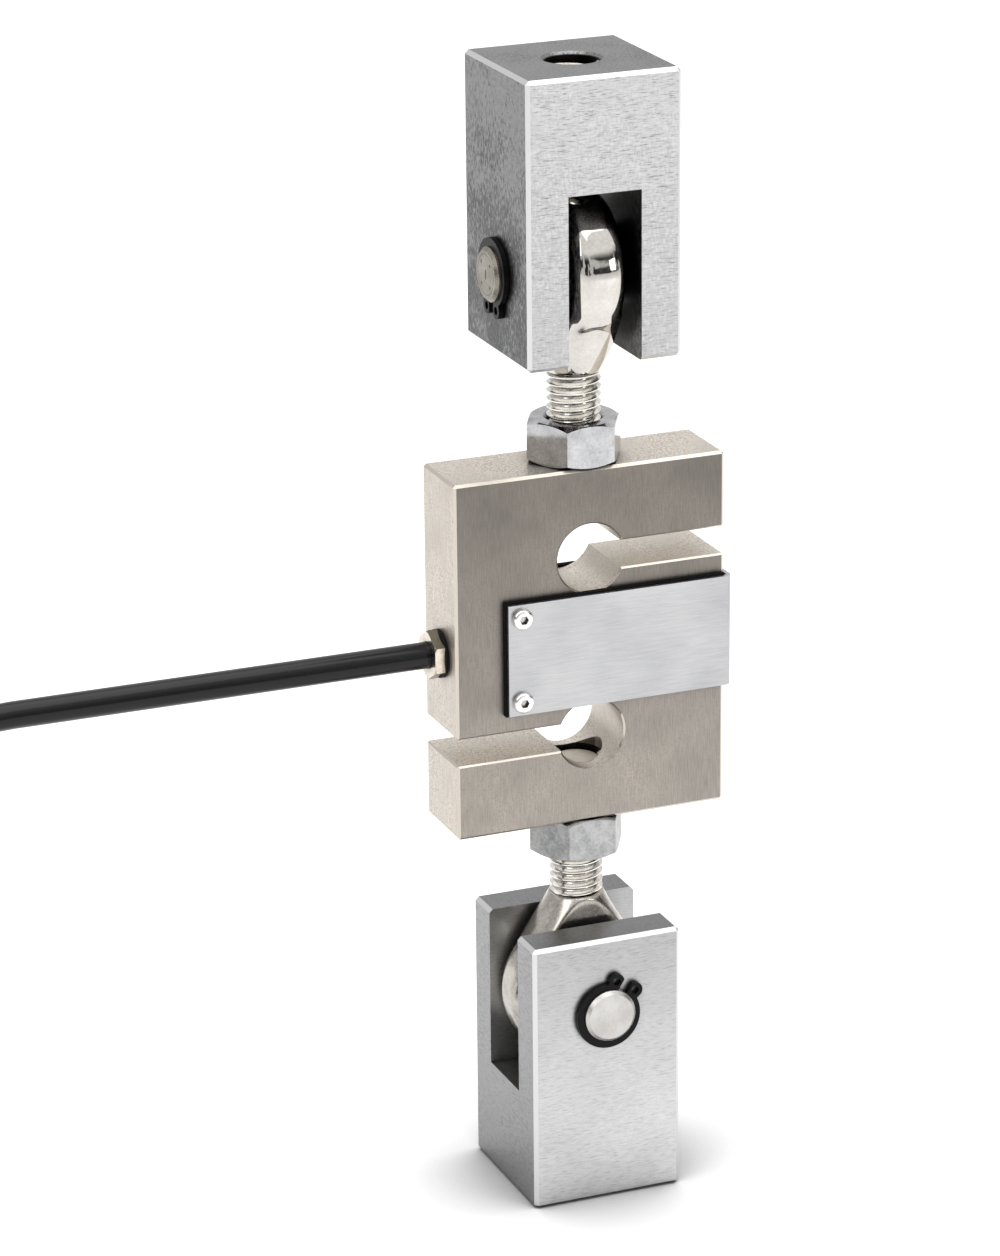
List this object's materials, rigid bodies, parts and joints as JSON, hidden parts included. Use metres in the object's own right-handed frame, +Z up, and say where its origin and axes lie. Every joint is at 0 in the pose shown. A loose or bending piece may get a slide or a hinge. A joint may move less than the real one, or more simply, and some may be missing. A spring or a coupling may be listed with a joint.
{
  "type": "s type load cell",
  "caption": "S-shaped steel load cell with a side cover and signal cable, hung in line between threaded fork couplings with ball rod ends, clevis pins and retaining rings.",
  "frame": {"origin": "centre of the mouth of the upper fork's threaded hole, on the load line", "axes": "+Z up along the load line, -Y the front of the cell, -X the side where the cable leaves"},
  "size_m": [0.2854, 0.045, 0.2154],
  "materials": {
    "fork_steel": "milled steel with a fine horizontal grain",
    "pin_steel": "ground steel",
    "ring_steel": "black phosphated spring steel",
    "ball_steel": "ground and polished bearing steel",
    "race_liner": "woven low-friction liner",
    "rod_end_chrome": "polished and plated steel",
    "nut_bright": "bright zinc plate",
    "nut_dull": "dull zinc plate",
    "cell_steel": "satin steel with a warm grey grain",
    "cover_sheet": "brushed stainless sheet",
    "screw_steel": "stainless",
    "gasket_rubber": "black cellular rubber",
    "gland_nickel": "nickel-plated brass",
    "washer_rubber": "black nitrile rubber",
    "board": "green solder mask",
    "lead_insulation": "plain lead insulation",
    "gauge_foil": "foil gauge on amber film",
    "potting": "translucent silicone",
    "cable_jacket": "smooth black jacket",
    "tie_strap": "black hook-and-loop strap",
    "core_insulation": "coloured core insulation"
  },
  "bodies": {
    "upper_fork": {"upper_fork": "fork_steel"},
    "upper_pin": {"upper_pin": "pin_steel", "upper_retaining_ring_left": "ring_steel", "upper_retaining_ring_right": "ring_steel"},
    "upper_ball": {"upper_ball": "ball_steel"},
    "upper_race": {"upper_race": "race_liner"},
    "cell": {"upper_rod_end": "rod_end_chrome", "lower_rod_end": "rod_end_chrome", "upper_jam_nut": "nut_bright", "lower_jam_nut": "nut_dull", "cell_body": "cell_steel", "side_cover": "cover_sheet", "cover_screws": "screw_steel", "gasket_front": "gasket_rubber", "gasket_back": "gasket_rubber", "cable_gland": "gland_nickel", "gland_washer": "washer_rubber", "gland_seal": "washer_rubber", "terminal_board": "board", "inner_leads": "lead_insulation", "strain_gauge_front": "gauge_foil", "strain_gauge_back": "gauge_foil", "potting_front": "potting", "potting_back": "potting", "signal_cable": "cable_jacket", "cable_hank": "cable_jacket", "hank_tie": "tie_strap", "cable_cores": "core_insulation"},
    "lower_race": {"lower_race": "race_liner"},
    "lower_ball": {"lower_ball": "ball_steel"},
    "lower_fork": {"lower_fork": "fork_steel"},
    "lower_pin": {"lower_pin": "pin_steel", "lower_retaining_ring_front": "ring_steel", "lower_retaining_ring_back": "ring_steel"}
  },
  "joints": [
    {"name": "upper_pin_turn", "type": "hinge", "parent": "upper_fork", "child": "upper_pin", "pos_m": [0, 0, -0.0377], "axis": [1, 0, 0], "continuous": true},
    {"name": "upper_swing", "type": "hinge", "parent": "upper_fork", "child": "upper_ball", "pos_m": [0, 0, -0.0377], "axis": [1, 0, 0], "range_deg": [-115, 115]},
    {"name": "upper_swivel", "type": "hinge", "parent": "upper_ball", "child": "upper_race", "pos_m": [0, 0, -0.0377], "axis": [0, 0, 1], "range_deg": [-5, 5]},
    {"name": "upper_tilt", "type": "hinge", "parent": "upper_race", "child": "cell", "pos_m": [0, 0, -0.0377], "axis": [0, 1, 0], "range_deg": [-5, 5]},
    {"name": "lower_tilt", "type": "hinge", "parent": "cell", "child": "lower_race", "pos_m": [0, 0, -0.1777], "axis": [1, 0, 0], "range_deg": [-5, 5]},
    {"name": "lower_swivel", "type": "hinge", "parent": "lower_race", "child": "lower_ball", "pos_m": [0, 0, -0.1777], "axis": [0, 0, 1], "range_deg": [-5, 5]},
    {"name": "lower_swing", "type": "hinge", "parent": "lower_ball", "child": "lower_fork", "pos_m": [0, 0, -0.1777], "axis": [0, 1, 0], "range_deg": [-115, 115]},
    {"name": "lower_pin_turn", "type": "hinge", "parent": "lower_fork", "child": "lower_pin", "pos_m": [0, 0, -0.1777], "axis": [0, 1, 0], "continuous": true}
  ]
}
